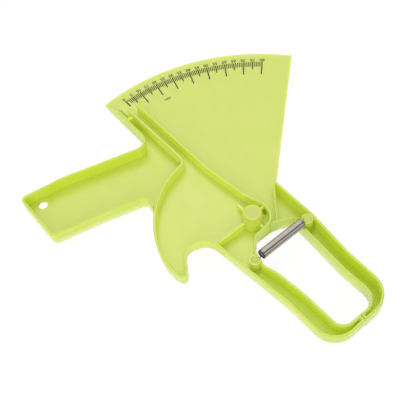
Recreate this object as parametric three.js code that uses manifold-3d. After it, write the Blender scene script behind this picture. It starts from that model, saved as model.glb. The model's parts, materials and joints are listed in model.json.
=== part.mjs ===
// Skinfold caliper lying on its back, open trays up, jaws closed, pointer on the zero of the scale.
// Lengths are millimetres. Plan outlines are laid out about the pivot axis, with the pointer along +Y,
// and the finished pieces are then moved so that the middle of the base is the origin.
import * as THREE from 'three';
import { mergeVertices } from 'three/addons/utils/BufferGeometryUtils.js';
import Module from 'manifold-3d';

const wasm = await Module();
wasm.setup();

// Heights
const FLOOR = 1.8;
const RIM_HEIGHT = 12.5;
const LEVER_GAP = 0.5;
const LEVER_FLOOR = 1.6;
const WALL = 1.9;
const EDGE_RADIUS = 1.5;
const RIM_CHAMFER = 0.35;

// Scale fan
const FAN_RADIUS = 164;
const FAN_LEFT_OFFSET = 15.2;
const FAN_RIGHT_OFFSET = 13.3;
const FAN_RIGHT_ANGLE = 42;
const LIP_WIDTH = 1.8;
const LIP_HEIGHT = 0.9;
const LIP_INNER_END = 52;
const RAMP_LENGTH = 28;
const FAN_CORNER_RADIUS = 3;
const STOP_LUG_X = -9.3;
const STOP_LUG_LOW_Y = 129.9;
const STOP_LUG_HIGH_Y = 132.3;
const STOP_LUG_TOP = 11.6;

// Handle
const HANDLE_END_X = -116.9;
const HANDLE_TOP_Y = 126.5;
const HANDLE_BEND_X = -82;
const HANDLE_BEND_TOP_Y = 120.6;
const HANDLE_BEND_LOW_Y = 74.1;
const HANDLE_LOW_Y = 82.5;
const HANDLE_ROOT_TOP_Y = 100.8;
const HANDLE_ROOT_X = -46.2;
const HANDLE_ROOT_LOW_Y = 63.8;
const HANDLE_HEEL_X = -49.2;
const HANDLE_HEEL_Y = 51;
const HANDLE_CORNER_RADIUS = 4;
const HANDLE_BEND_RADIUS = 70;
const HANDLE_HEEL_RADIUS = 8;
const ROOT_FILLET_RADIUS = 8;
const HANDLE_CLEARANCE = 1.7;
const HANGING_HOLE_RADIUS = 3.5;
const HANGING_HOLE_X = -105;
const HANGING_HOLE_Y = 117;

// Jaws
const CLOSING_X = 2.5;
const TIP_GAP = 0.3;
const JAW_BOTTOM_Y = -107.8;
const JAW_TIP_DEPTH = 5.3;
const TIP_BLOCK_LENGTH = 2.4;
const FIXED_OUTER_X = 30.5;
const FIXED_OUTER_TOP_X = 32.4;
const FIXED_OUTER_HIGH_X = 33.1;
const FIXED_OUTER_HIGH_Y = -27;
const FIXED_OUTER_WAIST_X = 30;
const FIXED_OUTER_WAIST_Y = -64;
const FIXED_OUTER_RADIUS = 18;
const FIXED_INNER_TOP_X = 20.1;
const FIXED_INNER_MID_X = 17.4;
const FIXED_INNER_LOW_X = 19;
const FIXED_INNER_MID_Y = -72;
const FIXED_INNER_RADIUS = 11;
const MOVING_OUTER_X = -26.2;
const MOVING_BOTTOM_Y = -109;
const MOVING_OUTER_RADIUS = 17;
const MOVING_INNER_X = -13.2;
const MOVING_INNER_RADIUS = 8.5;
const MOVING_WAIST_X = -13.7;
const MOVING_WAIST_Y = -70;
const MOVING_BEND_X = -16.3;
const MOVING_BEND_Y = -45.5;
const MOVING_BULGE_X = -19.7;
const MOVING_BULGE_Y = -34;
const MOVING_BULGE_RADIUS = 5;
const MOVING_NECK_X = -16;
const MOVING_NECK_Y = -22;
const JAW_BEND_RADIUS = 60;
const JAW_CURVE_RADIUS = 30;

// Window head, hub and tray beside it
const WINDOW_HEAD_X = 4.4;
const WINDOW_HEAD_Y = -13.7;
const WINDOW_FOOT_X = 10.2;
const WINDOW_FOOT_Y = -15.4;
const WINDOW_CORNER_Y = -20;
const WINDOW_CORNER_RADIUS = 4;
const HUB_SIDE_X = -16.5;
const HUB_LOW_Y = -14;
const HUB_RADIUS = 13.8;
const HUB_ARC_START = -76;
const HUB_CLEARANCE = 0.9;
const NECK_X = -8.4;
const NECK_Y = -14.2;
const NECK_RADIUS = 6;
const TRAY_RIB_ANGLE = 52.8;
const TRAY_RIB_RADIUS = 17.3;
const TRAY_RIB_THICKNESS = 1.5;
const TRAY_RIB_END = 28.5;
const TRAY_CORNER_RADIUS = 2.6;

// Lever
const ARM_LEFT_TIP_X = -8.5;
const ARM_LEFT_ROOT_X = -6.4;
const ARM_RIGHT_TIP_X = 1.8;
const ARM_RIGHT_MID_X = 3.6;
const ARM_RIGHT_MID_Y = 56;
const ARM_RIB_END_Y = 138.5;
const ARM_TAB_END_Y = 151.6;
const ARM_SHOULDER_X = 8.6;
const ARM_SHOULDER_Y = 18;
const ARM_BEND_RADIUS = 5;
const BELLY_RADIUS = 70.7;
const HOOK_HEEL_Y = 9;
const HOOK_BACK_SHARE = 0.99;
const HOOK_BACK_Y = 1.2;
const HOOK_TIP_LEFT_SHARE = 0.96;
const HOOK_TIP_RIGHT_SHARE = 0.908;
const HOOK_TIP_Y = -5.8;
const HOOK_FRONT_SHARE = 0.8685;
const HOOK_FRONT_Y = -3.2;
const HOOK_TIP_RADIUS = 2.3;
const REST_LEFT_SHARE = 0.733;
const REST_LEFT_Y = 11.8;
const REST_LEFT_RADIUS = 7.5;
const REST_RIGHT_SHARE = 0.492;
const REST_RIGHT_Y = 6.6;
const REST_RIGHT_RADIUS = 12;
const REST_SHOULDER_SHARE = 0.471;
const REST_SHOULDER_Y = -9;
const MOVING_SHOULDER_X = -27;
const MOVING_SHOULDER_Y = -66;
const HOOK_STEP_HEIGHT = 2.4;
const HOOK_STEP_LEFT_Y = 8.6;
const HOOK_STEP_RIGHT_Y = -8.2;

// Pivot
const POST_RADIUS = 4;
const POST_TOP = 16.4;
const POST_BORE_RADIUS = 2;
const POST_BORE_BOTTOM = 5;
const RUNNING_CLEARANCE = 0.09;
const PRESS_CLEARANCE = 0.05;
const SEAT_CLEARANCE = 0.05;
const BOSS_RADIUS = 8;
const BOSS_SHOULDER_HEIGHT = 11.6;
const BOSS_NECK_RADIUS = 6.7;
const BOSS_TOP_DROP = 0.2;
const CAP_RADIUS = 6.6;
const CAP_THICKNESS = 1.4;
const RIB_THICKNESS = 1.5;
const RIGHT_RIB_ANGLE = 7.6;
const ARM_RIB_REACH = 16;
const ARM_RIB_TOP = 9.2;
const RIB_DROP = 0.6;

// Spring and its anchors
const FRAME_ANCHOR_RADIUS = 38.5;
const FRAME_ANCHOR_ANGLE = -46.5;
const LEVER_ANCHOR_RADIUS = 35.7;
const LEVER_ANCHOR_ANGLE = -128.2;
const OPENING_ANGLE = 44.2;
const ANCHOR_RADIUS = 4.05;
const ANCHOR_CUP_RADIUS = 3.1;
const ANCHOR_CUP_DEPTH = 3.1;
const ANCHOR_TOP = 13.9;
const PIN_RADIUS = 1;
const PIN_HEAD_RADIUS = 2.4;
const PIN_HEAD_THICKNESS = 0.9;
const PIN_BOTTOM = 4.6;
const NOTCH_REACH = 17;
const NOTCH_EXTRA_ANGLE = 4;
const WIRE = 0.7;
const EYE_HEIGHT = 12.2;
const COIL_LIFT = 2;
const COIL_RADIUS = 3.2;
const COIL_TURNS = 30;
const COIL_START = 5.1;
const LOOP_RADIUS = 2.05;
const LOOP_OPEN_ANGLE = 50;
const LOOP_STEM = 3.2;
const STEM_INSIDE = 21;
const LOOP_SLACK = 0.55;
const SPRING_SIDE_CLEARANCE = 0.6;
const SLOT_WIDTH = 2.6;
const TUBE_SIDES = 5;
const TURN_STEPS = 8;

// Rounding of curves
const FINE_STEP = 12;
const WIDE_STEP = 3;
const ROUND_SIDES = 48;
const PIN_SIDES = 20;
const EDGE_STEPS = 3;
const INSET_SHARE = 0.999;
const WELD_SHARE = 1e-4;

const LEVER_BASE = FLOOR + LEVER_GAP;
const LEVER_TOP = LEVER_BASE + LEVER_FLOOR;
const CUT_MARGIN = RIM_HEIGHT;
const radians = THREE.MathUtils.degToRad;

const polar = (radius, degrees) =>
  new THREE.Vector2(radius * Math.cos(radians(degrees)), radius * Math.sin(radians(degrees)));

const solidOf = (geometry) => {
  const bare = geometry.clone();
  bare.deleteAttribute('normal');
  bare.deleteAttribute('uv');
  const welded = mergeVertices(bare, FLOOR * WELD_SHARE);
  return new wasm.Manifold(new wasm.Mesh({
    numProp: 3,
    vertProperties: new Float32Array(welded.attributes.position.array),
    triVerts: new Uint32Array(welded.index.array),
  }));
};

const geometryOf = (solid) => {
  const mesh = solid.getMesh();
  const geometry = new THREE.BufferGeometry();
  geometry.setAttribute('position', new THREE.BufferAttribute(new Float32Array(mesh.vertProperties), 3));
  geometry.setIndex(new THREE.BufferAttribute(new Uint32Array(mesh.triVerts), 1));
  return geometry;
};

const joined = (solids) => solids.reduce((whole, piece) => whole.add(piece));

const without = (solid, cuts) => cuts.reduce((whole, cut) => whole.subtract(cut), solid);

// A closed outline from corners {x, y, r}: each corner is rounded by its own radius r
const rounded = (corners) => {
  const points = [];
  corners.forEach((corner, i) => {
    const here = new THREE.Vector2(corner.x, corner.y);
    const radius = corner.r ?? 0;
    if (radius === 0) {
      points.push(here);
      return;
    }
    const before = corners[(i + corners.length - 1) % corners.length];
    const after = corners[(i + 1) % corners.length];
    const back = new THREE.Vector2(before.x, before.y).sub(here).normalize();
    const ahead = new THREE.Vector2(after.x, after.y).sub(here).normalize();
    const half = Math.acos(THREE.MathUtils.clamp(back.dot(ahead), -1, 1)) / 2;
    const reach = radius / Math.tan(half);
    const from = here.clone().addScaledVector(back, reach);
    const centre = back.clone().add(ahead).normalize().multiplyScalar(radius / Math.sin(half)).add(here);
    const turn = Math.sign(back.cross(ahead)) * (2 * half - Math.PI);
    const steps = Math.max(2, Math.ceil(Math.abs(turn) / radians(FINE_STEP)));
    for (let k = 0; k <= steps; k += 1) {
      points.push(from.clone().rotateAround(centre, turn * k / steps));
    }
  });
  return points;
};

const arcCorners = (radius, fromDegrees, toDegrees) => {
  const steps = Math.max(1, Math.round(Math.abs(toDegrees - fromDegrees) / WIDE_STEP));
  return Array.from({ length: steps + 1 }, (_, k) => {
    const point = polar(radius, fromDegrees + (toDegrees - fromDegrees) * k / steps);
    return { x: point.x, y: point.y };
  });
};

// The same outline drawn a distance inside itself, without the points that fall too near an edge
const inset = (points, distance) => {
  const next = (i) => points[(i + 1) % points.length];
  const nearest = new THREE.Vector3();
  const moved = points.map((point, i) => {
    const arriving = point.clone().sub(points.at(i - 1)).normalize();
    const leaving = next(i).clone().sub(point).normalize();
    const bisector = new THREE.Vector2(-arriving.y - leaving.y, arriving.x + leaving.x).normalize();
    const square = new THREE.Vector2(-arriving.y, arriving.x);
    return point.clone().addScaledVector(bisector, distance / bisector.dot(square));
  });
  const edges = points.map((point, i) => new THREE.Line3(
    new THREE.Vector3(point.x, point.y),
    new THREE.Vector3(next(i).x, next(i).y),
  ));
  return moved.filter((point) => {
    const place = new THREE.Vector3(point.x, point.y);
    return edges.every((edge) =>
      edge.closestPointToPoint(place, true, nearest).distanceTo(place) > distance * INSET_SHARE);
  });
};

const prism = (points, bottom, top) => {
  const geometry = new THREE.ExtrudeGeometry(new THREE.Shape(points), {
    depth: top - bottom,
    bevelEnabled: false,
  });
  return solidOf(geometry.translate(0, 0, bottom));
};

// A prism whose edges grow from inside the outline by a rounding of some steps, straight from bottom to top
const easedPrism = (points, bottom, top, size, steps) => solidOf(new THREE.ExtrudeGeometry(
  new THREE.Shape(points),
  { depth: top - bottom, bevelThickness: size, bevelSize: size, bevelOffset: -size, bevelSegments: steps },
).translate(0, 0, bottom));

// A prism whose lower outer edge is rounded
const roundedPrism = (points, bottom, top) =>
  easedPrism(points, bottom + EDGE_RADIUS, top, EDGE_RADIUS, EDGE_STEPS).trimByPlane([0, 0, -1], -top);

const cylinder = (centre, radius, bottom, top, sides = ROUND_SIDES) => {
  const geometry = new THREE.CylinderGeometry(radius, radius, top - bottom, sides);
  return solidOf(geometry.rotateX(Math.PI / 2).translate(centre.x, centre.y, (top + bottom) / 2));
};

// A straight bar in plan, from one distance to another along a direction that starts at a centre
const bar = (centre, degrees, from, to, width, bottom, top) => {
  const geometry = new THREE.BoxGeometry(to - from, width, top - bottom);
  geometry.translate((from + to) / 2, 0, (top + bottom) / 2);
  geometry.rotateZ(radians(degrees));
  return solidOf(geometry.translate(centre.x, centre.y, 0));
};

// Places of the spring: as the lever opens, the spring swings about the frame's anchor and grows longer
const PIVOT = new THREE.Vector2(0, 0);
const frameAnchor = polar(FRAME_ANCHOR_RADIUS, FRAME_ANCHOR_ANGLE);
const leverAnchor = polar(LEVER_ANCHOR_RADIUS, LEVER_ANCHOR_ANGLE);
const springVector = leverAnchor.clone().sub(frameAnchor);
const openVector = polar(LEVER_ANCHOR_RADIUS, LEVER_ANCHOR_ANGLE - OPENING_ANGLE).sub(frameAnchor);
const springSpan = springVector.length();
const springDegrees = THREE.MathUtils.radToDeg(springVector.angle());
const springSwing = springDegrees - THREE.MathUtils.radToDeg(openVector.angle());
const coilHeight = EYE_HEIGHT + COIL_LIFT;
const coilLength = springSpan - 2 * COIL_START;

// Frame outline, anticlockwise from the fan's right corner
const fanRight = (along) => new THREE.Vector2(along, -FAN_RIGHT_OFFSET)
  .rotateAround(PIVOT, radians(FAN_RIGHT_ANGLE));
const fanRightLine = (within) => new THREE.Vector2(0, within - FAN_RIGHT_OFFSET)
  .rotateAround(PIVOT, radians(FAN_RIGHT_ANGLE));
const fanRightReach = Math.sqrt(FAN_RADIUS ** 2 - FAN_RIGHT_OFFSET ** 2);
const fanRightCorner = fanRight(fanRightReach);
const fanLeftTop = Math.sqrt(FAN_RADIUS ** 2 - FAN_LEFT_OFFSET ** 2);
const fanLeftCorner = new THREE.Vector2(-FAN_LEFT_OFFSET, fanLeftTop);
const fanAngles = [fanRightCorner, fanLeftCorner].map((corner) => THREE.MathUtils.radToDeg(corner.angle()));
const trayTop = (() => {
  const start = fanRight(0);
  const slope = Math.tan(radians(FAN_RIGHT_ANGLE));
  return new THREE.Vector2(FIXED_OUTER_TOP_X, start.y + (FIXED_OUTER_TOP_X - start.x) * slope);
})();
const tipTopY = JAW_BOTTOM_Y + JAW_TIP_DEPTH;

const frameOutline = rounded([
  ...arcCorners(FAN_RADIUS, ...fanAngles).slice(0, -1),
  { x: fanLeftCorner.x, y: fanLeftCorner.y, r: FAN_CORNER_RADIUS },
  { x: -FAN_LEFT_OFFSET, y: HANDLE_ROOT_TOP_Y, r: ROOT_FILLET_RADIUS },
  { x: HANDLE_BEND_X, y: HANDLE_BEND_TOP_Y, r: HANDLE_BEND_RADIUS },
  { x: HANDLE_END_X, y: HANDLE_TOP_Y, r: HANDLE_CORNER_RADIUS },
  { x: HANDLE_END_X, y: HANDLE_LOW_Y, r: HANDLE_CORNER_RADIUS },
  { x: HANDLE_BEND_X, y: HANDLE_BEND_LOW_Y, r: HANDLE_BEND_RADIUS },
  { x: HANDLE_ROOT_X, y: HANDLE_ROOT_LOW_Y, r: HANDLE_CORNER_RADIUS },
  { x: HANDLE_HEEL_X, y: HANDLE_HEEL_Y, r: HANDLE_HEEL_RADIUS },
  { x: HUB_SIDE_X, y: HUB_LOW_Y, r: HUB_RADIUS },
  { x: WINDOW_HEAD_X, y: WINDOW_HEAD_Y, r: HUB_RADIUS },
  { x: WINDOW_FOOT_X, y: WINDOW_FOOT_Y, r: WINDOW_CORNER_RADIUS },
  { x: FIXED_INNER_TOP_X, y: WINDOW_CORNER_Y, r: WINDOW_CORNER_RADIUS },
  { x: FIXED_INNER_MID_X, y: FIXED_INNER_MID_Y, r: JAW_BEND_RADIUS },
  { x: FIXED_INNER_LOW_X, y: tipTopY, r: FIXED_INNER_RADIUS },
  { x: CLOSING_X + TIP_GAP / 2, y: tipTopY },
  { x: CLOSING_X + TIP_GAP / 2, y: JAW_BOTTOM_Y },
  { x: FIXED_OUTER_X, y: JAW_BOTTOM_Y, r: FIXED_OUTER_RADIUS },
  { x: FIXED_OUTER_WAIST_X, y: FIXED_OUTER_WAIST_Y, r: JAW_BEND_RADIUS },
  { x: FIXED_OUTER_HIGH_X, y: FIXED_OUTER_HIGH_Y, r: JAW_BEND_RADIUS },
  { x: trayTop.x, y: trayTop.y, r: TRAY_CORNER_RADIUS },
]);

// Lever outline, anticlockwise from the right side of the pointer's tab
const degreesOf = (x, y) => THREE.MathUtils.radToDeg(new THREE.Vector2(x, y).angle());
const bellyX = (share) => -BELLY_RADIUS * share;
const bellyArmY = Math.sqrt(BELLY_RADIUS ** 2 - ARM_LEFT_ROOT_X ** 2);
const bellyStart = degreesOf(ARM_LEFT_ROOT_X - 2 * ARM_BEND_RADIUS, bellyArmY);
const bellyEnd = degreesOf(-BELLY_RADIUS, HOOK_HEEL_Y);
const shoulder = new THREE.Vector2(ARM_SHOULDER_X, ARM_SHOULDER_Y);
const hubEnd = degreesOf(shoulder.x, shoulder.y)
  - THREE.MathUtils.radToDeg(Math.acos(HUB_RADIUS / shoulder.length()));

const leverOutline = rounded([
  { x: ARM_RIGHT_TIP_X, y: ARM_TAB_END_Y },
  { x: ARM_LEFT_TIP_X, y: ARM_TAB_END_Y },
  { x: ARM_LEFT_ROOT_X, y: bellyArmY, r: ARM_BEND_RADIUS },
  ...arcCorners(BELLY_RADIUS, bellyStart, bellyEnd),
  { x: bellyX(HOOK_BACK_SHARE), y: HOOK_BACK_Y, r: HOOK_TIP_RADIUS },
  { x: bellyX(HOOK_TIP_LEFT_SHARE), y: HOOK_TIP_Y, r: HOOK_TIP_RADIUS },
  { x: bellyX(HOOK_TIP_RIGHT_SHARE), y: HOOK_TIP_Y, r: HOOK_TIP_RADIUS },
  { x: bellyX(HOOK_FRONT_SHARE), y: HOOK_FRONT_Y, r: HOOK_TIP_RADIUS },
  { x: bellyX(REST_LEFT_SHARE), y: REST_LEFT_Y, r: REST_LEFT_RADIUS },
  { x: bellyX(REST_RIGHT_SHARE), y: REST_RIGHT_Y, r: REST_RIGHT_RADIUS },
  { x: bellyX(REST_SHOULDER_SHARE), y: REST_SHOULDER_Y, r: JAW_CURVE_RADIUS },
  { x: MOVING_SHOULDER_X, y: MOVING_SHOULDER_Y, r: JAW_BEND_RADIUS },
  { x: MOVING_OUTER_X, y: MOVING_BOTTOM_Y, r: MOVING_OUTER_RADIUS },
  { x: CLOSING_X - TIP_GAP / 2, y: JAW_BOTTOM_Y },
  { x: CLOSING_X - TIP_GAP / 2, y: tipTopY },
  { x: MOVING_INNER_X, y: tipTopY, r: MOVING_INNER_RADIUS },
  { x: MOVING_WAIST_X, y: MOVING_WAIST_Y, r: JAW_BEND_RADIUS },
  { x: MOVING_BEND_X, y: MOVING_BEND_Y, r: JAW_CURVE_RADIUS },
  { x: MOVING_BULGE_X, y: MOVING_BULGE_Y, r: MOVING_BULGE_RADIUS },
  { x: MOVING_NECK_X, y: MOVING_NECK_Y, r: NECK_RADIUS },
  { x: NECK_X, y: NECK_Y, r: NECK_RADIUS },
  ...arcCorners(HUB_RADIUS, HUB_ARC_START, hubEnd),
  { x: ARM_SHOULDER_X, y: ARM_SHOULDER_Y, r: JAW_CURVE_RADIUS },
  { x: ARM_RIGHT_MID_X, y: ARM_RIGHT_MID_Y, r: JAW_BEND_RADIUS },
]);

// A prism over a polygon given as pairs of plan coordinates
const zoneOf = (corners, bottom, top) =>
  prism(corners.map(([x, y]) => new THREE.Vector2(x, y)), bottom, top);

// The upright walls that follow an outline: lower outer edge rounded, both edges of the rim chamfered
const wallRing = (outline, bottom) => {
  const chamferStart = RIM_HEIGHT - RIM_CHAMFER;
  const outside = easedPrism(outline, bottom - CUT_MARGIN, chamferStart, RIM_CHAMFER, 1);
  const inner = inset(outline, WALL);
  const mouth = easedPrism(inset(outline, WALL - RIM_CHAMFER), RIM_HEIGHT, RIM_HEIGHT + CUT_MARGIN,
    RIM_CHAMFER, 1);
  return without(roundedPrism(outline, bottom, RIM_HEIGHT).intersect(outside), [
    prism(inner, bottom - CUT_MARGIN, RIM_HEIGHT + CUT_MARGIN),
    mouth,
  ]);
};

// Room for the coil as the spring swings about an anchor
const springRoom = (anchor, degrees, swing) => {
  const width = 2 * (COIL_RADIUS + WIRE / 2 + SPRING_SIDE_CLEARANCE);
  const extra = Math.sign(swing) * NOTCH_EXTRA_ANGLE;
  return [-extra, swing / 2, swing + extra].map((turn) => bar(anchor, degrees + turn, ANCHOR_RADIUS,
    NOTCH_REACH, width, coilHeight - width / 2, RIM_HEIGHT + CUT_MARGIN));
};

// Cup in an anchor boss for the hook, the slot that it leaves through, and the hole for the pin
const anchorCuts = (anchor, degrees, swing) => [
  cylinder(anchor, ANCHOR_CUP_RADIUS, ANCHOR_TOP - ANCHOR_CUP_DEPTH, ANCHOR_TOP + CUT_MARGIN),
  cylinder(anchor, PIN_RADIUS + PRESS_CLEARANCE, PIN_BOTTOM - SEAT_CLEARANCE, ANCHOR_TOP, PIN_SIDES),
  ...[0, swing / 2, swing].map((turn) => bar(anchor, degrees + turn, 0, 2 * ANCHOR_RADIUS, SLOT_WIDTH,
    ANCHOR_TOP - ANCHOR_CUP_DEPTH, ANCHOR_TOP + CUT_MARGIN)),
];

// Solid lip that closes a jaw at its tip, on one side of the closing line
const tipBlock = (side, bottom) => {
  const inner = CLOSING_X + side * TIP_GAP / 2;
  const outer = inner + side * TIP_BLOCK_LENGTH;
  const [left, right] = [inner, outer].sort((a, b) => a - b);
  return zoneOf([
    [left, JAW_BOTTOM_Y + WALL / 2],
    [right, JAW_BOTTOM_Y + WALL / 2],
    [right, tipTopY - WALL / 2],
    [left, tipTopY - WALL / 2],
  ], bottom + EDGE_RADIUS, RIM_HEIGHT - RIM_CHAMFER);
};

// A turned pin on the pivot axis, from pairs of radius and height
const turned = (profile, sides) => {
  const points = profile.map(([x, y]) => new THREE.Vector2(x, y));
  return solidOf(new THREE.LatheGeometry(points, sides).rotateX(Math.PI / 2));
};

const frameSolid = () => {
  const walls = wallRing(frameOutline, 0);
  const sweep = cylinder(PIVOT, BELLY_RADIUS + HANDLE_CLEARANCE, -CUT_MARGIN, RIM_HEIGHT + CUT_MARGIN);
  const handleRight = WALL - FAN_LEFT_OFFSET;
  const handleLeft = HANDLE_END_X - WALL;
  const handleZone = zoneOf([
    [handleRight, FAN_RADIUS],
    [handleLeft, FAN_RADIUS],
    [handleLeft, HANDLE_HEEL_Y],
    [handleRight, HANDLE_HEEL_Y],
  ], 0, RIM_HEIGHT).subtract(sweep);
  const rampStart = fanLeftTop - RAMP_LENGTH;
  const rampProfile = [
    [rampStart, RIM_HEIGHT],
    [FAN_RADIUS, FLOOR],
    [FAN_RADIUS + WALL, FLOOR],
    [FAN_RADIUS + WALL, RIM_HEIGHT + CUT_MARGIN],
    [rampStart, RIM_HEIGHT + CUT_MARGIN],
  ].map(([y, z]) => new THREE.Vector2(y, z));
  const ramp = solidOf(new THREE.ExtrudeGeometry(new THREE.Shape(rampProfile), {
    depth: 2 * FAN_LEFT_OFFSET,
    bevelEnabled: false,
  }).rotateX(Math.PI / 2).rotateZ(Math.PI / 2).translate(-2 * FAN_LEFT_OFFSET, 0, 0));
  const hubRoom = cylinder(PIVOT, HUB_RADIUS + HUB_CLEARANCE, -CUT_MARGIN, RIM_HEIGHT + CUT_MARGIN);
  const jawLeft = CLOSING_X;
  const jawRight = FIXED_OUTER_TOP_X + WALL;
  const jawZone = zoneOf([
    [jawRight, trayTop.y],
    [jawLeft, trayTop.y],
    [jawLeft, JAW_BOTTOM_Y - WALL],
    [jawRight, JAW_BOTTOM_Y - WALL],
  ], 0, RIM_HEIGHT).subtract(hubRoom);
  const inside = prism(inset(frameOutline, WALL / 2), 0, RIM_HEIGHT);
  const trayRib = bar(polar(TRAY_RIB_RADIUS, TRAY_RIB_ANGLE - 90), TRAY_RIB_ANGLE, -HUB_RADIUS * 2,
    TRAY_RIB_END, TRAY_RIB_THICKNESS, EDGE_RADIUS, RIM_HEIGHT - RIM_CHAMFER).intersect(inside);
  const lip = bar(fanRightLine(LIP_WIDTH / 2), FAN_RIGHT_ANGLE, LIP_INNER_END, FAN_RADIUS, LIP_WIDTH,
    EDGE_RADIUS, FLOOR + LIP_HEIGHT).intersect(prism(frameOutline, 0, RIM_HEIGHT));
  const stopLug = zoneOf([
    [-FAN_LEFT_OFFSET + WALL / 2, STOP_LUG_LOW_Y],
    [STOP_LUG_X, STOP_LUG_LOW_Y],
    [STOP_LUG_X, STOP_LUG_HIGH_Y],
    [-FAN_LEFT_OFFSET + WALL / 2, STOP_LUG_HIGH_Y],
  ], EDGE_RADIUS, STOP_LUG_TOP);
  const body = joined([
    roundedPrism(frameOutline, 0, FLOOR),
    walls.intersect(handleZone).subtract(ramp),
    without(walls.intersect(jawZone), springRoom(frameAnchor, springDegrees, -springSwing)),
    trayRib,
    lip,
    stopLug,
    tipBlock(1, 0),
    cylinder(frameAnchor, ANCHOR_RADIUS, EDGE_RADIUS, ANCHOR_TOP),
    cylinder(PIVOT, POST_RADIUS, EDGE_RADIUS, POST_TOP),
  ]);
  const hangingHole = new THREE.Vector2(HANGING_HOLE_X, HANGING_HOLE_Y);
  return without(body, [
    ...anchorCuts(frameAnchor, springDegrees, -springSwing),
    cylinder(PIVOT, POST_BORE_RADIUS, POST_BORE_BOTTOM, POST_TOP + CUT_MARGIN, PIN_SIDES),
    cylinder(hangingHole, HANGING_HOLE_RADIUS, -CUT_MARGIN, CUT_MARGIN),
  ]);
};

const leverSolid = () => {
  const tabCut = zoneOf([
    [ARM_LEFT_TIP_X - WALL, ARM_RIB_END_Y],
    [ARM_RIGHT_MID_X + WALL, ARM_RIB_END_Y],
    [ARM_RIGHT_MID_X + WALL, FAN_RADIUS],
    [ARM_LEFT_TIP_X - WALL, FAN_RADIUS],
  ], LEVER_TOP, RIM_HEIGHT + CUT_MARGIN);
  const inside = prism(inset(leverOutline, WALL / 2), LEVER_BASE + EDGE_RADIUS, RIM_HEIGHT);
  const rib = (degrees, reach, top) =>
    bar(PIVOT, degrees, 0, reach, RIB_THICKNESS, LEVER_BASE, top).intersect(inside);
  const hookZone = zoneOf([
    [-BELLY_RADIUS, HOOK_STEP_LEFT_Y],
    [-BELLY_RADIUS, HOOK_STEP_RIGHT_Y],
    [bellyX(REST_LEFT_SHARE), HOOK_STEP_RIGHT_Y],
  ], 0, LEVER_TOP + HOOK_STEP_HEIGHT).intersect(inside);
  const boss = turned([
    [0, LEVER_BASE],
    [BOSS_RADIUS, LEVER_BASE],
    [BOSS_RADIUS, BOSS_SHOULDER_HEIGHT],
    [BOSS_NECK_RADIUS, POST_TOP - BOSS_TOP_DROP],
    [0, POST_TOP - BOSS_TOP_DROP],
  ], ROUND_SIDES);
  const anchorDegrees = springDegrees - 180;
  const leverSwing = OPENING_ANGLE - springSwing;
  const body = joined([
    roundedPrism(leverOutline, LEVER_BASE, LEVER_TOP),
    without(wallRing(leverOutline, LEVER_BASE), [
      tabCut,
      ...springRoom(leverAnchor, anchorDegrees, leverSwing),
    ]),
    rib(RIGHT_RIB_ANGLE, HUB_RADIUS, RIM_HEIGHT - RIB_DROP),
    rib(90, ARM_RIB_REACH, ARM_RIB_TOP),
    rib(180, WALL - bellyX(REST_RIGHT_SHARE), RIM_HEIGHT - RIB_DROP),
    rib(270, HUB_RADIUS, RIM_HEIGHT - RIB_DROP),
    hookZone,
    tipBlock(-1, LEVER_BASE),
    boss,
    cylinder(leverAnchor, ANCHOR_RADIUS, LEVER_BASE + EDGE_RADIUS, ANCHOR_TOP),
  ]);
  return without(body, [
    ...anchorCuts(leverAnchor, anchorDegrees, leverSwing),
    cylinder(PIVOT, POST_RADIUS + RUNNING_CLEARANCE, -CUT_MARGIN, POST_TOP + CUT_MARGIN),
  ]);
};

const capSolid = () => {
  const stem = POST_BORE_RADIUS - PRESS_CLEARANCE;
  const under = POST_TOP + SEAT_CLEARANCE;
  return turned([
    [0, POST_BORE_BOTTOM + SEAT_CLEARANCE],
    [stem, POST_BORE_BOTTOM + SEAT_CLEARANCE],
    [stem, under],
    [CAP_RADIUS, under],
    [CAP_RADIUS, under + CAP_THICKNESS],
    [0, under + CAP_THICKNESS],
  ], PIN_SIDES * 2);
};

const anchorPin = (anchor) => turned([
  [0, PIN_BOTTOM],
  [PIN_RADIUS, PIN_BOTTOM],
  [PIN_RADIUS, ANCHOR_TOP - PIN_HEAD_THICKNESS],
  [PIN_HEAD_RADIUS, ANCHOR_TOP - PIN_HEAD_THICKNESS],
  [PIN_HEAD_RADIUS, ANCHOR_TOP],
  [0, ANCHOR_TOP],
], PIN_SIDES).translate(anchor.x, anchor.y, 0);

// A wire path whose spaced points are exactly its own points
class WirePath extends THREE.Curve {
  constructor(points) {
    super();
    this.points = points;
  }

  getPoint(t) {
    const place = t * (this.points.length - 1);
    const before = Math.min(Math.floor(place), this.points.length - 2);
    return this.points[before].clone().lerp(this.points[before + 1], place - before);
  }

  getPointAt(t) {
    return this.getPoint(t);
  }

  getTangentAt(t) {
    return this.getTangent(t);
  }
}

// Wire along points {along, side, up} measured from the frame's anchor toward the lever's
const springWire = (places) => {
  const ahead = springVector.clone().normalize();
  const path = places.map(({ along, side, up }) => new THREE.Vector3(
    frameAnchor.x + ahead.x * along - ahead.y * side,
    frameAnchor.y + ahead.y * along + ahead.x * side,
    EYE_HEIGHT + up,
  ));
  const section = Array.from({ length: TUBE_SIDES }, (_, k) => polar(WIRE / 2, 360 * k / TUBE_SIDES));
  const geometry = new THREE.ExtrudeGeometry(new THREE.Shape(section), {
    steps: path.length - 1,
    extrudePath: new WirePath(path),
    bevelEnabled: false,
  });
  return { solid: solidOf(geometry), path };
};

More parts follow.
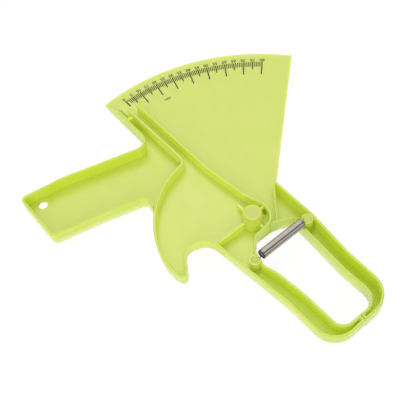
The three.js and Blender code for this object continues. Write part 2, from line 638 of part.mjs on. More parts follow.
// Open eye about a pin, from its free end round the back and onto the spring's axis
const eye = (centre, toward) => {
  const steps = TURN_STEPS - 1;
  const round = Array.from({ length: steps + 1 }, (_, k) => {
    const place = polar(LOOP_RADIUS, LOOP_OPEN_ANGLE + (360 - 2 * LOOP_OPEN_ANGLE) * k / steps);
    return { along: centre + toward * place.x, side: toward * place.y, up: 0 };
  });
  const start = round[0];
  const ahead = { along: start.along - round[1].along, side: start.side - round[1].side };
  const stretch = WIRE / Math.hypot(ahead.along, ahead.side);
  const free = { along: start.along + ahead.along * stretch, side: start.side + ahead.side * stretch, up: 0 };
  return [free, ...round, { along: centre + toward * LOOP_STEM, side: 0, up: 0 }];
};

const coilPath = () => {
  const lead = TURN_STEPS / 2;
  const pitch = coilLength / COIL_TURNS;
  const leadPitch = (COIL_START - LOOP_STEM - WIRE) / lead;
  const places = [...eye(0, 1), { along: LOOP_STEM + WIRE, side: 0, up: 0 }];
  for (let k = 1; k <= lead + COIL_TURNS * TURN_STEPS; k += 1) {
    const radius = COIL_LIFT + (COIL_RADIUS - COIL_LIFT) * Math.min(1, k / lead);
    const turn = polar(radius, 360 * k / TURN_STEPS - 90);
    const along = k < lead ? LOOP_STEM + WIRE + leadPitch * k : COIL_START + pitch * (k - lead) / TURN_STEPS;
    places.push({ along, side: turn.x, up: COIL_LIFT + turn.y });
  }
  const last = places.at(-1);
  const before = places.at(-2);
  const step = Math.hypot(last.along - before.along, last.side - before.side, last.up - before.up);
  const share = WIRE / step;
  places.push({
    along: last.along + (last.along - before.along) * share,
    side: last.side + (last.side - before.side) * share,
    up: last.up + (last.up - before.up) * share,
  });
  return places;
};

const hookPath = () => {
  const centre = springSpan + LOOP_SLACK;
  return [...eye(centre, -1), { along: COIL_START + coilLength - STEM_INSIDE, side: 0, up: 0 }];
};

// Least free distance between wires that lie more than half a turn apart along one path
const leastGap = (path) => {
  let least = Infinity;
  path.forEach((point, i) => {
    path.slice(i + TURN_STEPS / 2 + 1).forEach((other) => {
      least = Math.min(least, point.distanceTo(other) - WIRE);
    });
  });
  return least;
};

const coil = springWire(coilPath());
const hook = springWire(hookPath());
console.log('least gap of the spring to itself', leastGap(coil.path).toFixed(3));

const PLASTIC = { color: '#cbdc4e', roughness: 0.45, metalness: 0 };
const TAN_PLASTIC = { color: '#c9cd6a', roughness: 0.5, metalness: 0 };
const STEEL = { color: '#b9b4b2', roughness: 0.3, metalness: 1 };
const pieces = [
  ['frame', frameSolid(), PLASTIC],
  ['lever', leverSolid(), PLASTIC],
  ['pivot_cap', capSolid(), TAN_PLASTIC],
  ['frame_spring_pin', anchorPin(frameAnchor), TAN_PLASTIC],
  ['lever_spring_pin', anchorPin(leverAnchor), TAN_PLASTIC],
  ['spring_coil', coil.solid, STEEL],
  ['spring_hook', hook.solid, STEEL],
];

const group = new THREE.Group();
group.name = 'skinfold_caliper';
pieces.forEach(([name, solid, finish]) => {
  const mesh = new THREE.Mesh(geometryOf(solid), new THREE.MeshStandardMaterial(finish));
  mesh.name = name;
  group.add(mesh);
});
const bounds = new THREE.Box3().setFromObject(group);
const middle = bounds.getCenter(new THREE.Vector3());
group.children.forEach((mesh) => mesh.geometry.translate(-middle.x, -middle.y, -bounds.min.z));

export default group;
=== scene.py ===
"""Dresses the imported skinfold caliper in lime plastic, a wound spring and a printed scale."""

from __future__ import annotations

import json
import logging
import math
from dataclasses import dataclass
from enum import Enum
from typing import Optional, Union

import bmesh
import bpy
from mathutils import Matrix, Vector
from mathutils.bvhtree import BVHTree

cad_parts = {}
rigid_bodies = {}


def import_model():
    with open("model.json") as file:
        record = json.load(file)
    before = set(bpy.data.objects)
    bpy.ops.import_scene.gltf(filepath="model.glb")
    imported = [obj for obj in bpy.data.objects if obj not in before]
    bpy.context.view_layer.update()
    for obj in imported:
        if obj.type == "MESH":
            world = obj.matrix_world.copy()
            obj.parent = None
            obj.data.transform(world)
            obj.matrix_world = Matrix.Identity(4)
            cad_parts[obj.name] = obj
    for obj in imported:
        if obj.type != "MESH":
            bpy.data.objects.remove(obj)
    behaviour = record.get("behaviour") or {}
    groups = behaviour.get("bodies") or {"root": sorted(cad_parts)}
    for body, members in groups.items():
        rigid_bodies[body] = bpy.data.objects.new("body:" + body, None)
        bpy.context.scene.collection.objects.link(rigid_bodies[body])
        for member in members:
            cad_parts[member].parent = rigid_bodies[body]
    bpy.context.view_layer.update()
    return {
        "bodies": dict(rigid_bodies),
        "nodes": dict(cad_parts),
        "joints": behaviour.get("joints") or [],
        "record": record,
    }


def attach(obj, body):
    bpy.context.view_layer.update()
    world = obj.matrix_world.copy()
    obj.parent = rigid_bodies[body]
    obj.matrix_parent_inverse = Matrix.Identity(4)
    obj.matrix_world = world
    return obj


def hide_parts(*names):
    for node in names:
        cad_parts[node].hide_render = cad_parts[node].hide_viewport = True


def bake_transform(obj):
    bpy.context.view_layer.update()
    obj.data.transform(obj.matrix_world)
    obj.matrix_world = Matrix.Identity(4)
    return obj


LOG = logging.getLogger("caliper")
MM = 0.001

# The lever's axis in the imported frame, and the heights of the plate, the lever and the rims.
PIVOT = Vector((-6.736873626708984, -27.857730865478516, 0.0)) * MM
PLATE_TOP = 1.8 * MM
LEVER_TOP = 3.9 * MM
RIM_TOP = 12.5 * MM

# Where the spring's two pins stand about the axis with the jaws closed, in millimetres.
FRAME_ANCHOR = (26.501651, -27.926913)
LEVER_ANCHOR = (-22.077180, -28.055091)

# What the mouldings' faces and the spring's points store for their finishes.
OUTER_SIDE = "outer_side"
INNER_SIDE = "inner_side"
RIM_EDGE = "rim_edge"
AS_WOUND = "as_wound"

Colour = tuple[float, float, float, float]
Pair = tuple[float, float]
Triple = tuple[float, float, float]
Value = Union[float, "Socket"]


def plan(radius: float, degrees: float, height: float = 0.0) -> Vector:
    """Finds a point by its radius and angle about the pivot.

    Args:
        radius: the distance from the pivot's axis in millimetres.
        degrees: the angle about the pivot.
        height: the height in metres.

    Returns:
        The point in metres.
    """
    angle = math.radians(degrees)
    return around_pivot(radius * math.cos(angle), radius * math.sin(angle), height)


def around_pivot(x: float, y: float, height: float = 0.0) -> Vector:
    """Finds a point by its distances from the pivot's axis.

    Args:
        x: how far along X it lies, in millimetres.
        y: how far along Y it lies, in millimetres.
        height: the height in metres.

    Returns:
        The point in metres.
    """
    return PIVOT + Vector((x * MM, y * MM, height))


def linear(red: int, green: int, blue: int) -> Colour:
    """Turns a display colour into linear light by the sRGB curve.

    Args:
        red: the red channel from 0 to 255.
        green: the green channel from 0 to 255.
        blue: the blue channel from 0 to 255.

    Returns:
        The colour with full alpha.
    """
    def channel(value: int) -> float:
        """One channel as linear light."""
        share = value / 255
        return share / 12.92 if share <= 0.04045 else ((share + 0.055) / 1.055) ** 2.4
    return channel(red), channel(green), channel(blue), 1.0


@dataclass(frozen=True)
class Grain:
    """The size per metre, the detail and the roughness of a noise."""

    scale: float
    detail: float
    roughness: float


class Socket:
    """A shader output that ordinary arithmetic turns into Math nodes."""

    def __init__(self, graph: Graph, output: bpy.types.NodeSocket) -> None:
        """Holds an output of a graph."""
        self.graph = graph
        self.output = output

    def _math(self, operation: str, other: Value, swap: bool = False) -> Socket:
        """Adds one Math node.

        Args:
            operation: the node's operation.
            other: the value or socket that joins this one.
            swap: whether the other comes first.

        Returns:
            The node's output.
        """
        first, second = (other, self) if swap else (self, other)
        return self.graph.node("ShaderNodeMath", {"operation": operation}, {0: first, 1: second})

    def __add__(self, other: Value) -> Socket:
        """Sum."""
        return self._math("ADD", other)

    def __radd__(self, other: Value) -> Socket:
        """Reflected sum."""
        return self._math("ADD", other, True)

    def __sub__(self, other: Value) -> Socket:
        """Difference."""
        return self._math("SUBTRACT", other)

    def __rsub__(self, other: Value) -> Socket:
        """Reflected difference."""
        return self._math("SUBTRACT", other, True)

    def __mul__(self, other: Value) -> Socket:
        """Product."""
        return self._math("MULTIPLY", other)

    def __rmul__(self, other: Value) -> Socket:
        """Reflected product."""
        return self._math("MULTIPLY", other, True)

    def __abs__(self) -> Socket:
        """Size without its sign."""
        return self.graph.node("ShaderNodeMath", {"operation": "ABSOLUTE"}, {0: self})


class Graph:
    """The node graph of one material or of the world."""

    def __init__(self, owner: Union[bpy.types.Material, bpy.types.World]) -> None:
        """Empties a graph.

        Args:
            owner: the material or world that holds it.
        """
        self.owner = owner
        self.owner.use_nodes = True
        self.tree = self.owner.node_tree
        self.tree.nodes.clear()

    def node(self, kind: str, settings: Optional[dict] = None, inputs: Optional[dict] = None,
             output: Union[int, str] = 0) -> Optional[Socket]:
        """Adds a node, sets it up and links it.

        Args:
            kind: the node's type.
            settings: the properties that are set first.
            inputs: values or sockets by input name or index.
            output: which output is returned.

        Returns:
            The chosen output, or nothing from a node without outputs.
        """
        made = self.tree.nodes.new(kind)
        for key, value in (settings or {}).items():
            setattr(made, key, value)
        for key, value in (inputs or {}).items():
            if isinstance(value, Socket):
                self.tree.links.new(value.output, made.inputs[key])
            else:
                made.inputs[key].default_value = value
        return Socket(self, made.outputs[output]) if len(made.outputs) else None

    def object_coordinates(self) -> Socket:
        """Object coordinates of the piece."""
        return self.node("ShaderNodeTexCoord", output="Object")

    def attribute(self, name: str, output: str = "Fac") -> Socket:
        """A value that the piece's mesh carries."""
        return self.node("ShaderNodeAttribute", {"attribute_name": name}, output=output)

    def along(self, vector: Socket, axis: str) -> Socket:
        """One axis of a vector."""
        return self.node("ShaderNodeSeparateXYZ", {}, {0: vector}, axis)

    def span(self, value: Value, start: float, end: float, soft: bool = True, first: float = 0.0,
             last: float = 1.0) -> Socket:
        """A step between two values.

        Args:
            value: what is measured.
            start: where the step starts.
            end: where it ends.
            soft: whether it is eased at both ends.
            first: the result at and before the start.
            last: the result at and after the end.

        Returns:
            The step.
        """
        settings = {"interpolation_type": "SMOOTHSTEP"} if soft else {}
        return self.node("ShaderNodeMapRange", settings, {
            "Value": value, "From Min": start, "From Max": end, "To Min": first, "To Max": last})

    def noise(self, vector: Socket, grain: Grain) -> Socket:
        """Noise over a place."""
        return self.node("ShaderNodeTexNoise", {}, {
            "Vector": vector, "Scale": grain.scale, "Detail": grain.detail,
            "Roughness": grain.roughness})

    def mix_colour(self, factor: Value, first: Union[Colour, Socket],
                   second: Union[Colour, Socket]) -> Socket:
        """Blends two colours by a factor."""
        return self.node("ShaderNodeMix", {"data_type": "RGBA"},
                         {0: factor, 6: first, 7: second}, 2)

    def finish(self, shader: Socket) -> Union[bpy.types.Material, bpy.types.World]:
        """Sends a shader to the graph's output.

        Args:
            shader: the finished shader.

        Returns:
            The material or world.
        """
        kind = "World" if isinstance(self.owner, bpy.types.World) else "Material"
        self.node(f"ShaderNodeOutput{kind}", {}, {"Surface": shader})
        return self.owner


@dataclass(frozen=True)
class Pocket:
    """A narrow place round an upright axis, where little light comes in."""

    x: float
    y: float
    reach: float
    strength: float


@dataclass(frozen=True)
class Seam:
    """A painted reflection: a dark line along the wound spring."""

    place: float
    reach: float
    strength: float


# Painted shade: the pockets round which the plastics darken, such as the spring bosses' feet, the
# hub's pocket, the jaws' tips and the groove beside the arm.
ARM_GROOVE = (Pocket(-10.4, 125.0, 6.0, 0.3), Pocket(-10.4, 117.0, 6.0, 0.26),
              Pocket(-10.4, 109.0, 6.0, 0.12))
FRAME_POCKETS = (Pocket(*FRAME_ANCHOR, 7.5, 0.42), Pocket(6.0, -105.1, 2.7, 0.6),
                 Pocket(9.0, -105.0, 2.7, 0.6), Pocket(25.0, -96.0, 11.0, 0.1))
LEVER_POCKETS = (Pocket(*LEVER_ANCHOR, 7.0, 0.32), Pocket(13.4, 2.0, 4.6, 1.0),
                 Pocket(-1.0, -106.2, 2.7, 0.45), Pocket(-4.0, -106.3, 2.7, 0.45),
                 Pocket(-65.5, -1.0, 7.0, 0.12), *ARM_GROOVE)


@dataclass(frozen=True)
class MouldedPlastic:
    """Satin injection-moulded plastic, slightly translucent, with a faint cloudiness, and with
    painted shade, painted floor light and a painted glow in its colour.

    Lengths are in millimetres.
    """

    name: str
    colour: Colour
    cloud: Colour
    pockets: tuple[Pocket, ...] = ()
    heart: Optional[Colour] = None
    # painted floor light: the pale colour the outer walls fade to towards their feet
    pale: Colour = (0.9, 0.96, 0.66, 1.0)
    # painted shade: the deeper, more saturated lime that the channels and inner walls take
    depth: Colour = (0.47, 0.6, 0.008, 1.0)
    # painted glow: the colour of the faint light the plastic gives off
    within: Colour = (0.6, 0.74, 0.02, 1.0)
    # painted shade on the rims' thin edges and on the outer walls round the jaws' tips
    edge: Colour = (0.4, 0.48, 0.03, 1.0)
    shade: Colour = (0.16, 0.23, 0.004, 1.0)
    patches: Grain = Grain(34.0, 3.0, 0.55)
    flow: Grain = Grain(90.0, 2.0, 0.6)
    grain: Grain = Grain(2600.0, 2.0, 0.6)
    flow_stretch: Triple = (1.0, 0.16, 1.0)
    patch_share: float = 0.65
    cloud_span: Pair = (0.36, 0.66)
    # how high the painted floor light rises on the outer walls, and how strong it is
    foot_height: float = 7.5
    foot_share: float = 0.7
    # where the painted shade in the trays lies, and how strong it is
    jaws_span: Pair = (-22.0, -50.0)
    channel_share: float = 0.6
    wall_share: float = 0.3
    below_rim: Pair = (12.3, 11.5)
    # where and how strongly the rims' edges and the jaws' tips get painted shade
    tips_span: Pair = (-85.0, -100.0)
    rim_share: float = 0.5
    tips_share: float = 0.35
    pocket_heights: Pair = (10.5, 7.0)
    pocket_core: float = 0.6
    heart_span: Pair = (3.4, 6.2)
    roughness: float = 0.34
    patch_roughness: float = 0.16
    grain_roughness: float = 0.06
    swell: float = 6.0
    bump: float = 0.16
    bump_height: float = 0.06
    ior: float = 1.48
    glow: float = 0.85
    glow_reach_metres: Triple = (0.006, 0.007, 0.0015)
    coat: float = 0.7
    coat_loss: float = 1.6
    coat_roughness: float = 0.3
    # the strength of the painted glow
    gleam: float = 0.15

    @staticmethod
    def _between(graph: Graph, value: Value, span: Pair, start: float = 0.0) -> Socket:
        """A soft step over a span of millimetres, counted from a start in metres."""
        return graph.span(value, start + span[0] * MM, start + span[1] * MM)

    def _clouded(self, graph: Graph, place: Socket, patches: Socket) -> Socket:
        """Drifts the colour with the melt's patches and its flow marks.

        Args:
            graph: the material's graph.
            place: where the spot is.
            patches: the patches' noise.

        Returns:
            The colour.
        """
        stretched = graph.node("ShaderNodeMapping", {},
                               {"Vector": place, "Scale": self.flow_stretch})
        flow = graph.noise(stretched, self.flow)
        drift = patches * self.patch_share + flow * (1.0 - self.patch_share)
        share = graph.span(drift, *self.cloud_span, soft=False)
        return graph.mix_colour(share, self.colour, self.cloud)

    def _deep(self, graph: Graph, place: Socket, side: Socket) -> Socket:
        """Measures how much painted shade a spot gets inside the trays, most of all in the jaws.

        Args:
            graph: the material's graph.
            place: where the spot is.
            side: 1 on the outer sides.

        Returns:
            The share of the painted shade.
        """
        jaws = self._between(graph, graph.along(place, "Y"), self.jaws_span, PIVOT.y)
        below = self._between(graph, graph.along(place, "Z"), self.below_rim)
        channel = jaws * (1.0 - side) * self.channel_share
        return (channel + graph.attribute(INNER_SIDE) * (1.0 - jaws) * self.wall_share) * below

    def _edged(self, graph: Graph, place: Socket, side: Socket, colour: Socket) -> Socket:
        """Paints shade onto the rims' thin edges and the outer walls round the jaws' tips.

        Args:
            graph: the material's graph.
            place: where the spot is.
            side: 1 on the outer sides.
            colour: the colour so far.

        Returns:
            The colour.
        """
        tips = self._between(graph, graph.along(place, "Y"), self.tips_span, PIVOT.y)
        share = graph.attribute(RIM_EDGE) * self.rim_share + side * tips * self.tips_share
        return graph.mix_colour(share, colour, self.edge)

    @staticmethod
    def _away(graph: Graph, place: Socket, axis: Vector) -> Socket:
        """Measures how far a spot stands from an upright axis.

        Args:
            graph: the material's graph.
            place: where the spot is.
            axis: the axis's foot.

        Returns:
            The distance in metres.
        """
        flat = graph.node("ShaderNodeVectorMath", {"operation": "MULTIPLY"},
                          {0: place, 1: (1.0, 1.0, 0.0)})
        return graph.node("ShaderNodeVectorMath", {"operation": "DISTANCE"},
                          {0: flat, 1: tuple(axis)}, "Value")

    def _shaded(self, graph: Graph, place: Socket, colour: Socket) -> Socket:
        """Paints shade into the colour in the pockets.

        Args:
            graph: the material's graph.
            place: where the spot is.
            colour: the colour so far.

        Returns:
            The colour.
        """
        low = self._between(graph, graph.along(place, "Z"), self.pocket_heights)
        for pocket in self.pockets:
            away = self._away(graph, place, around_pivot(pocket.x, pocket.y))
            near = self._between(graph, away, (pocket.reach, pocket.reach * self.pocket_core))
            colour = graph.mix_colour(near * low * pocket.strength, colour, self.shade)
        return colour

    def _hearted(self, graph: Graph, place: Socket, colour: Socket) -> Socket:
        """Lets a round piece on the pivot's axis be darker in its middle.

        Args:
            graph: the material's graph.
            place: where the spot is.
            colour: the colour so far.

        Returns:
            The colour.
        """
        fade = self._between(graph, self._away(graph, place, PIVOT), self.heart_span)
        return graph.mix_colour(fade, self.heart, colour)

    def material(self) -> bpy.types.Material:
        """Builds the material.

        Returns:
            The material.
        """
        graph = Graph(bpy.data.materials.new(self.name))
        place = graph.object_coordinates()
        patches = graph.noise(place, self.patches)
        grain = graph.noise(place, self.grain)
        side = graph.attribute(OUTER_SIDE)
        # Painted floor light: the outer walls turn paler towards their feet, standing in for light
        # from the white table.
        foot = side * graph.span(graph.along(place, "Z"), self.foot_height * MM, 0.0)
        # Painted shade: the channels and inner walls of the trays take a deeper lime, where little
        # light reaches.
        channel_shade = self._deep(graph, place, side)
        colour = graph.mix_colour(channel_shade, self._clouded(graph, place, patches), self.depth)
        colour = graph.mix_colour(foot * self.foot_share, colour, self.pale)
        # Painted shade on the rims' edges, at the jaws' tips and in the pockets.
        colour = self._shaded(graph, place, self._edged(graph, place, side, colour))
        if self.heart:
            colour = self._hearted(graph, place, colour)
        uneven = (patches - 0.5) * self.patch_roughness + (grain - 0.5) * self.grain_roughness
        bump = graph.node("ShaderNodeBump", {}, {
            "Height": grain + patches * self.swell, "Strength": self.bump,
            "Distance": self.bump_height * MM}, "Normal")
        settings = {"subsurface_method": "RANDOM_WALK"}
        return graph.finish(graph.node("ShaderNodeBsdfPrincipled", settings, {
            "Base Color": colour,
            "Roughness": self.roughness + uneven,
            "IOR": self.ior,
            "Subsurface Weight": self.glow,
            "Subsurface Radius": self.glow_reach_metres,
            "Subsurface Scale": 1.0,
            "Coat Weight": self.coat * (1.0 - channel_shade * self.coat_loss),
            "Coat Roughness": self.coat_roughness,
            # Painted glow: a faint emission stands in for light shining through the translucent
            # walls.
            "Emission Color": graph.mix_colour(patches, self.within, self.colour),
            "Emission Strength": self.gleam,
            "Normal": bump,
        }))


@dataclass(frozen=True)
class SpringWire:
    """Bright drawn spring steel, with painted reflections as dark lines along it and painted shade
    on its upper edge, its lower side and towards its ends.

    Places are in millimetres about the pivot.
    """

    name: str = "spring_wire"
    bright: Colour = (0.66, 0.61, 0.58, 1.0)
    dull: Colour = (0.4, 0.36, 0.34, 1.0)
    # the dark colour of the painted reflections and the painted shade
    oil: Colour = (0.03, 0.024, 0.02, 1.0)
    # painted reflections: dark lines along the coil's lower side, where it mirrors darker
    # surroundings
    seams: tuple[Seam, ...] = (Seam(-29.6, 0.8, 0.78), Seam(-30.9, 0.4, 0.3))
    seam_core: float = 0.2
    # painted shade on the coil's lower side and upper edge, and towards its two ends
    low_side: Pair = (-29.8, -31.0)
    low_share: float = 0.15
    upper_edge: Pair = (-25.7, -25.2)
    upper_share: float = 0.6
    near_end: Pair = (-15.1, -16.3)
    near_share: float = 0.85
    far_end: Pair = (19.8, 21.0)
    far_share: float = 0.5
    smear: Grain = Grain(380.0, 3.0, 0.6)
    smear_share: float = 0.5
    lines: Grain = Grain(5200.0, 2.0, 0.5)
    line_share: float = 0.2
    roughness: float = 0.2
    smear_roughness: float = 0.16
    bump: float = 0.2
    bump_height: float = 0.02

    @staticmethod
    def _oiled(graph: Graph, value: Socket, span: Pair, share: float) -> Socket:
        """A straight rise of painted shade over a span of millimetres."""
        return graph.span(value, span[0] * MM, span[1] * MM, soft=False, last=share)

    def _seamed(self, graph: Graph, across: Socket, colour: Socket) -> Socket:
        """Paints the dark reflections as lines along the spring.

        Args:
            graph: the material's graph.
            across: the place across the spring.
            colour: the colour so far.

        Returns:
            The colour.
        """
        for reflection in self.seams:
            line = graph.span(abs(across - reflection.place * MM), self.seam_core * MM, reflection.reach * MM,
                              first=reflection.strength, last=0.0)
            colour = graph.mix_colour(line, colour, self.oil)
        return colour

    def material(self) -> bpy.types.Material:
        """Builds the material.

        Returns:
            The material.
        """
        graph = Graph(bpy.data.materials.new(self.name))
        place = graph.attribute(AS_WOUND, "Vector")
        across, length = graph.along(place, "Y"), graph.along(place, "X")
        smear = graph.noise(place, self.smear)
        lines = graph.noise(place, self.lines)
        worn = smear * self.smear_share + lines * self.line_share
        # Painted shade: the lower side of the coil turns duller.
        worn = worn + self._oiled(graph, across, self.low_side, self.low_share)
        colour = self._seamed(graph, across, graph.mix_colour(worn, self.bright, self.dull))
        # Painted shade: the coil darkens along its upper edge and towards its two ends.
        oil = self._oiled(graph, across, self.upper_edge, self.upper_share)
        oil = oil + self._oiled(graph, length, self.near_end, self.near_share)
        oil = oil + self._oiled(graph, length, self.far_end, self.far_share)
        bump = graph.node("ShaderNodeBump", {}, {
            "Height": lines, "Strength": self.bump, "Distance": self.bump_height * MM}, "Normal")
        return graph.finish(graph.node("ShaderNodeBsdfPrincipled", {}, {
            "Base Color": graph.mix_colour(oil, colour, self.oil),
            "Metallic": 1.0,
            "Roughness": self.roughness + smear * self.smear_roughness,
            "Normal": bump,
        }))


@dataclass(frozen=True)
class PrintedInk:
    """Matt olive-black ink that lets a little of the plastic's colour through."""

    name: str = "scale_ink"
    colour: Colour = (0.024, 0.03, 0.002, 1.0)
    worn: Colour = (0.08, 0.095, 0.006, 1.0)
    wear: Grain = Grain(900.0, 3.0, 0.7)
    roughness: float = 0.5
    wear_roughness: float = 0.2
    shine: float = 0.2

    def material(self) -> bpy.types.Material:
        """Builds the material.

        Returns:
            The material.
        """
        graph = Graph(bpy.data.materials.new(self.name))
        wear = graph.noise(graph.object_coordinates(), self.wear)
        return graph.finish(graph.node("ShaderNodeBsdfPrincipled", {}, {
            "Base Color": graph.mix_colour(wear, self.colour, self.worn),
            "Roughness": self.roughness + wear * self.wear_roughness,
            "Specular IOR Level": self.shine,
        }))


class Finish(Enum):
    """The finishes of the caliper."""

    LIME = MouldedPlastic("lime_plastic", linear(198, 211, 78), linear(203, 215, 90), FRAME_POCKETS)
    PALE_LIME = MouldedPlastic("pale_lime_plastic", linear(204, 216, 92), linear(210, 220, 106),
                               LEVER_POCKETS)
    BRIGHT_LIME = MouldedPlastic("bright_lime_plastic", linear(192, 215, 58), linear(198, 219, 70))
    TAN = MouldedPlastic("tan_hearted_plastic", linear(190, 206, 62), linear(196, 210, 74),
                         heart=linear(194, 198, 76))
    WIRE = SpringWire()
    INK = PrintedInk()

    def dress(self, piece: bpy.types.Object) -> None:
        """Gives a piece this finish, whose material is built once.

        Args:
            piece: the piece.
        """
        material = bpy.data.materials.get(self.value.name) or self.value.material()
        piece.data.materials.clear()
        piece.data.materials.append(material)


def only(piece: bpy.types.Object) -> None:
    """Selects one piece and makes it active.

    Args:
        piece: the piece.
    """
    bpy.ops.object.select_all(action="DESELECT")
    piece.select_set(True)
    bpy.context.view_layer.objects.active = piece


def linked(name: str, data: bpy.types.ID) -> bpy.types.Object:
    """Puts new data into the scene as the one selected object.

    Args:
        name: the object's name.
        data: its mesh, curve, camera or lamp.

    Returns:
        The object.
    """
    made = bpy.data.objects.new(name, data)
    bpy.context.scene.collection.objects.link(made)
    only(made)
    return made


def settle(piece: bpy.types.Object, angle: float, weighted: bool = True) -> None:
    """Shades a finished piece smoothly up to an angle.

    Args:
        piece: the piece.
        angle: the sharpest angle in degrees that is still smooth.
        weighted: whether its normals are evened by face area.
    """
    only(piece)
    bpy.ops.object.shade_smooth_by_angle(angle=math.radians(angle))
    if weighted:
        modifier = piece.modifiers.new("even_normals", "WEIGHTED_NORMAL")
        modifier.keep_sharp = True
        bpy.ops.object.modifier_apply(modifier=modifier.name)


def outward(piece: bpy.types.Object) -> None:
    """Turns the normals of a closed piece outward.

    Args:
        piece: the piece.
    """
    only(piece)
    bpy.ops.object.mode_set(mode="EDIT")
    bpy.ops.mesh.select_all(action="SELECT")
    bpy.ops.mesh.normals_make_consistent(inside=False)
    bpy.ops.object.mode_set(mode="OBJECT")


def place_in_mesh(piece: bpy.types.Object) -> None:
    """Moves a piece's place into its mesh, so that its object sits at the origin.

    Args:
        piece: the piece.
    """
    only(piece)
    bpy.ops.object.transform_apply(location=True, rotation=True, scale=True)


def ready(piece: bpy.types.Object, body: str, slot: str, *nodes: str) -> None:
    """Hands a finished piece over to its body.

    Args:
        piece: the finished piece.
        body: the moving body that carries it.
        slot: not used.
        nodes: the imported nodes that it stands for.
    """
    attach(piece, body)
    if nodes:
        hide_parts(*nodes)
    LOG.info("%s: %d faces", piece.name, len(piece.data.polygons))


@dataclass
class Moulding:
    """A moulded half of the caliper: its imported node, merged into one surface."""

    node: str
    name: str
    body: str
    finish: Finish
    merge: float = 0.004
    smooth_angle: float = 50.0
    ray_start: float = 0.1
    ray_turns: tuple[int, ...] = (-14, -7, 0, 7, 14)
    upright: float = 0.8
    level: float = 0.3
    rim_below: float = 0.9
    rim_above: float = 0.4

    def build(self, frame: dict) -> bpy.types.Object:
        """Copies the node, merges its triangles and evens its shading.


        Returns:
            The finished moulding.
        """
        piece = linked(self.name, frame["nodes"][self.node].data.copy())
        bpy.ops.object.mode_set(mode="EDIT")
        bpy.ops.mesh.select_all(action="SELECT")
        bpy.ops.mesh.remove_doubles(threshold=self.merge * MM)
        bpy.ops.object.mode_set(mode="OBJECT")
        bpy.ops.mesh.customdata_custom_splitnormals_clear()
        settle(piece, self.smooth_angle)
        self._mark_faces(piece)
        self.finish.dress(piece)
        ready(piece, self.body, "green_plastic", self.node)
        return piece

    def _mark_faces(self, piece: bpy.types.Object) -> None:
        """Marks the outer sides, the inner sides and the edges of the rims.

        Args:
            piece: the moulding.
        """
        mesh = bmesh.new()
        mesh.from_mesh(piece.data)
        tree = BVHTree.FromBMesh(mesh)
        mesh.free()
        outer, inner, rim = (piece.data.attributes.new(name, "FLOAT", "FACE")
                             for name in (OUTER_SIDE, INNER_SIDE, RIM_EDGE))
        fan = [Matrix.Rotation(math.radians(turn), 3, "Z") for turn in self.ray_turns]
        rim_low, rim_high = RIM_TOP - self.rim_below * MM, RIM_TOP + self.rim_above * MM
        for index, face in enumerate(piece.data.polygons):
            start = face.center + face.normal * self.ray_start * MM
            free = all(tree.ray_cast(start, turn @ face.normal)[0] is None for turn in fan)
            upright = abs(face.normal.z) < self.upright
            outer.data[index].value = float(upright and free)
            inner.data[index].value = float(upright and not free)
            rim.data[index].value = float(face.normal.z > self.level
                                          and rim_low < face.center.z < rim_high)


@dataclass
class TurnedPin:
    """A turned pin: a shank in its bore and a head with an eased edge.

    Heights and radii are in millimetres.
    """

    node: str
    name: str
    body: str
    centre: Vector
    bottom: float
    under: float
    top: float
    shank: float
    head: float
    ease: float
    finish: Finish
    sides: int = 64
    ease_steps: int = 5
    merge: float = 0.001
    smooth_angle: float = 35.0

    def profile(self) -> list[tuple[float, float]]:
        """Draws the half section from the foot to the middle of the head.

        Returns:
            The pairs of radius and height.
        """
        arc = [math.pi / 2 * step / self.ease_steps for step in range(self.ease_steps + 1)]
        rise = [(self.head - self.ease * (1 - math.cos(turn)),
                 self.top - self.ease * (1 - math.sin(turn))) for turn in arc]
        return [(0.0, self.bottom), (self.shank, self.bottom), (self.shank, self.under),
                (self.head, self.under), *rise, (0.0, self.top)]

    def build(self) -> bpy.types.Object:
        """Turns the profile about the pin's axis.

        Returns:
            The pin.
        """
        points = [Vector((radius * MM, 0.0, height * MM)) for radius, height in self.profile()]
        mesh = bpy.data.meshes.new(self.name)
        mesh.from_pydata(points, [(i, i + 1) for i in range(len(points) - 1)], [])
        piece = linked(self.name, mesh)
        lathe = piece.modifiers.new("lathe", "SCREW")
        lathe.steps = lathe.render_steps = self.sides
        lathe.use_merge_vertices = True
        lathe.merge_threshold = self.merge * MM
        bpy.ops.object.modifier_apply(modifier=lathe.name)
        piece.location = self.centre
        place_in_mesh(piece)
        outward(piece)
        settle(piece, self.smooth_angle)
        self.finish.dress(piece)
        ready(piece, self.body, "tan_plastic", self.node)
        return piece


